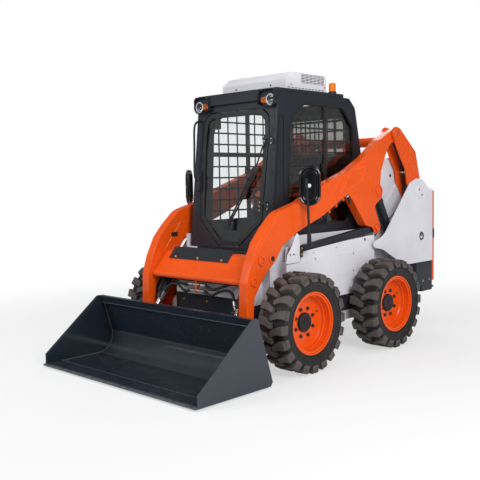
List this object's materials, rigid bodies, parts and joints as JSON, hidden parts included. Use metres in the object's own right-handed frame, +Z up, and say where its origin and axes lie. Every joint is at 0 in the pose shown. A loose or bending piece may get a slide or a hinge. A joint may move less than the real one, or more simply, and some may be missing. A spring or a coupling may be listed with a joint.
{
  "type": "skid steer loader",
  "caption": "Compact wheeled loader that steers by its wheels, with an enclosed cab, vertical lift arms behind it and a wide open bucket in front.",
  "frame": {"origin": "on the ground under the middle of the bounding box", "axes": "+Z up, +Y towards the rear, +X towards the operator's left, bucket at -Y"},
  "size_m": [1.82, 3.468, 2.3521],
  "materials": {
    "hose_rubber": "matte",
    "orange_paint": "satin",
    "white_paint": "satin",
    "charcoal_paint": "satin",
    "black_plastic": "matte",
    "bright_steel": "polished",
    "tyre_rubber": "matte",
    "clear_glass": "gloss",
    "amber_lens": "gloss",
    "lamp_lens": "gloss",
    "seat_vinyl": "satin",
    "cast_engine": "rough"
  },
  "bodies": {
    "chassis": {"main_frame": "white_paint", "side_panel_left": "white_paint", "side_panel_right": "white_paint", "upright_left": "white_paint", "upright_right": "white_paint", "rear_bumper": "charcoal_paint", "engine_cover": "white_paint", "engine_block": "cast_engine", "cab_side_left": "charcoal_paint", "cab_side_right": "charcoal_paint", "cab_front_frame": "charcoal_paint", "cab_rear_panel": "charcoal_paint", "side_window_left": "clear_glass", "side_window_right": "clear_glass", "rear_window": "clear_glass", "cab_roof": "charcoal_paint", "ac_unit": "white_paint", "headlamp_left": "lamp_lens", "headlamp_right": "lamp_lens", "beacon": "amber_lens", "mirror_left": "black_plastic", "mirror_right": "black_plastic", "operator_station": "black_plastic", "seat_cushion": "seat_vinyl", "seat_back": "seat_vinyl"},
    "wheel_front_left": {"tyre_front_left": "tyre_rubber", "rim_front_left": "orange_paint"},
    "wheel_front_right": {"tyre_front_right": "tyre_rubber", "rim_front_right": "orange_paint"},
    "wheel_rear_left": {"tyre_rear_left": "tyre_rubber", "rim_rear_left": "orange_paint"},
    "wheel_rear_right": {"tyre_rear_right": "tyre_rubber", "rim_rear_right": "orange_paint"},
    "control_link_left": {"control_link_left": "charcoal_paint"},
    "control_link_right": {"control_link_right": "charcoal_paint"},
    "boom": {"lift_arm_left": "orange_paint", "lift_arm_right": "orange_paint", "front_cross_member": "orange_paint", "rear_cross_tube": "orange_paint", "step_plate": "charcoal_paint", "front_hoses": "hose_rubber", "arm_pipe_left": "hose_rubber", "arm_pipe_right": "hose_rubber"},
    "rear_link_left": {"rear_link_left": "orange_paint", "link_hoses_left": "hose_rubber"},
    "lift_barrel_left": {"lift_barrel_left": "charcoal_paint"},
    "lift_rod_left": {"lift_rod_left": "bright_steel"},
    "rear_link_right": {"rear_link_right": "orange_paint", "link_hoses_right": "hose_rubber"},
    "lift_barrel_right": {"lift_barrel_right": "charcoal_paint"},
    "lift_rod_right": {"lift_rod_right": "bright_steel"},
    "bucket_tool": {"bucket": "charcoal_paint", "bucket_carrier": "charcoal_paint"},
    "tilt_barrel_left": {"tilt_barrel_left": "charcoal_paint"},
    "tilt_rod_left": {"tilt_rod_left": "bright_steel"},
    "tilt_barrel_right": {"tilt_barrel_right": "charcoal_paint"},
    "tilt_rod_right": {"tilt_rod_right": "bright_steel"},
    "cab_door": {"cab_door": "black_plastic", "door_glass": "clear_glass"},
    "tailgate": {"tailgate": "orange_paint"}
  },
  "joints": [
    {"name": "wheel_front_left_spin", "type": "hinge", "parent": "chassis", "child": "wheel_front_left", "pos_m": [0.786, -0.503, 0.38258], "axis": [1, 0, 0], "continuous": true},
    {"name": "wheel_front_right_spin", "type": "hinge", "parent": "chassis", "child": "wheel_front_right", "pos_m": [-0.786, -0.503, 0.38258], "axis": [1, 0, 0], "continuous": true},
    {"name": "wheel_rear_left_spin", "type": "hinge", "parent": "chassis", "child": "wheel_rear_left", "pos_m": [0.786, 0.637, 0.38258], "axis": [1, 0, 0], "continuous": true},
    {"name": "wheel_rear_right_spin", "type": "hinge", "parent": "chassis", "child": "wheel_rear_right", "pos_m": [-0.786, 0.637, 0.38258], "axis": [1, 0, 0], "continuous": true},
    {"name": "lift", "type": "hinge", "parent": "chassis", "child": "control_link_left", "pos_m": [0.5705, -0.353, 0.897], "axis": [1, 0, 0], "range_deg": [0, 48]},
    {"name": "control_right", "type": "hinge", "parent": "chassis", "child": "control_link_right", "pos_m": [-0.5705, -0.353, 0.897], "axis": [1, 0, 0], "range_deg": [-1, 49]},
    {"name": "boom_pivot", "type": "hinge", "parent": "control_link_left", "child": "boom", "pos_m": [0.5705, 0.757, 1.015], "axis": [1, 0, 0], "range_deg": [-110.41, 1]},
    {"name": "rear_link_left_pivot", "type": "hinge", "parent": "boom", "child": "rear_link_left", "pos_m": [0.5705, 1.052, 1.859], "axis": [1, 0, 0], "range_deg": [-1, 35.22]},
    {"name": "lift_barrel_left_pivot", "type": "hinge", "parent": "chassis", "child": "lift_barrel_left", "pos_m": [0.5705, 1.15, 0.727], "axis": [1, 0, 0], "range_deg": [-11.78, 1]},
    {"name": "lift_rod_left_slide", "type": "slide", "parent": "lift_barrel_left", "child": "lift_rod_left", "axis": [0, -0.5017, 0.865], "range_m": [-0.005, 0.627]},
    {"name": "rear_link_right_pivot", "type": "hinge", "parent": "boom", "child": "rear_link_right", "pos_m": [-0.5705, 1.052, 1.859], "axis": [1, 0, 0], "range_deg": [-1, 35.22]},
    {"name": "lift_barrel_right_pivot", "type": "hinge", "parent": "chassis", "child": "lift_barrel_right", "pos_m": [-0.5705, 1.15, 0.727], "axis": [1, 0, 0], "range_deg": [-11.78, 1]},
    {"name": "lift_rod_right_slide", "type": "slide", "parent": "lift_barrel_right", "child": "lift_rod_right", "axis": [0, -0.5017, 0.865], "range_m": [-0.005, 0.627]},
    {"name": "bucket_tilt", "type": "hinge", "parent": "boom", "child": "bucket_tool", "pos_m": [0, -0.968, 0.184], "axis": [1, 0, 0], "range_deg": [-25, 86]},
    {"name": "tilt_barrel_left_pivot", "type": "hinge", "parent": "boom", "child": "tilt_barrel_left", "pos_m": [0.462, -0.623, 0.862], "axis": [1, 0, 0], "range_deg": [-6, 3]},
    {"name": "tilt_rod_left_slide", "type": "slide", "parent": "tilt_barrel_left", "child": "tilt_rod_left", "axis": [0, -0.5527, -0.8333], "range_m": [-0.052, 0.1668]},
    {"name": "tilt_barrel_right_pivot", "type": "hinge", "parent": "boom", "child": "tilt_barrel_right", "pos_m": [-0.462, -0.623, 0.862], "axis": [1, 0, 0], "range_deg": [-6, 3]},
    {"name": "tilt_rod_right_slide", "type": "slide", "parent": "tilt_barrel_right", "child": "tilt_rod_right", "axis": [0, -0.5527, -0.8333], "range_m": [-0.052, 0.1668]},
    {"name": "cab_door_hinge", "type": "hinge", "parent": "chassis", "child": "cab_door", "pos_m": [0.404, -0.47033, 1.40613], "axis": [0, 0.1074, 0.9942], "range_deg": [0, 95]},
    {"name": "tailgate_hinge", "type": "hinge", "parent": "chassis", "child": "tailgate", "pos_m": [-0.585, 1.688, 0.9], "axis": [0, 0, 1], "range_deg": [0, 110]}
  ],
  "couplings": [
    {"joint": "control_right", "follows": "lift", "ratio": 1},
    {"joint": "boom_pivot", "follows": "lift", "ratio": -2.2793},
    {"joint": "rear_link_left_pivot", "follows": "lift", "ratio": 0.713},
    {"joint": "lift_barrel_left_pivot", "follows": "lift", "ratio": -0.2245},
    {"joint": "lift_rod_left_slide", "follows": "lift", "m_per_rad": 0.7425},
    {"joint": "rear_link_right_pivot", "follows": "lift", "ratio": 0.713},
    {"joint": "lift_barrel_right_pivot", "follows": "lift", "ratio": -0.2245},
    {"joint": "lift_rod_right_slide", "follows": "lift", "m_per_rad": 0.7425},
    {"joint": "tilt_barrel_left_pivot", "follows": "bucket_tilt", "ratio": -0.052},
    {"joint": "tilt_rod_left_slide", "follows": "bucket_tilt", "m_per_rad": 0.1078},
    {"joint": "tilt_barrel_right_pivot", "follows": "bucket_tilt", "ratio": -0.052},
    {"joint": "tilt_rod_right_slide", "follows": "bucket_tilt", "m_per_rad": 0.1078}
  ]
}
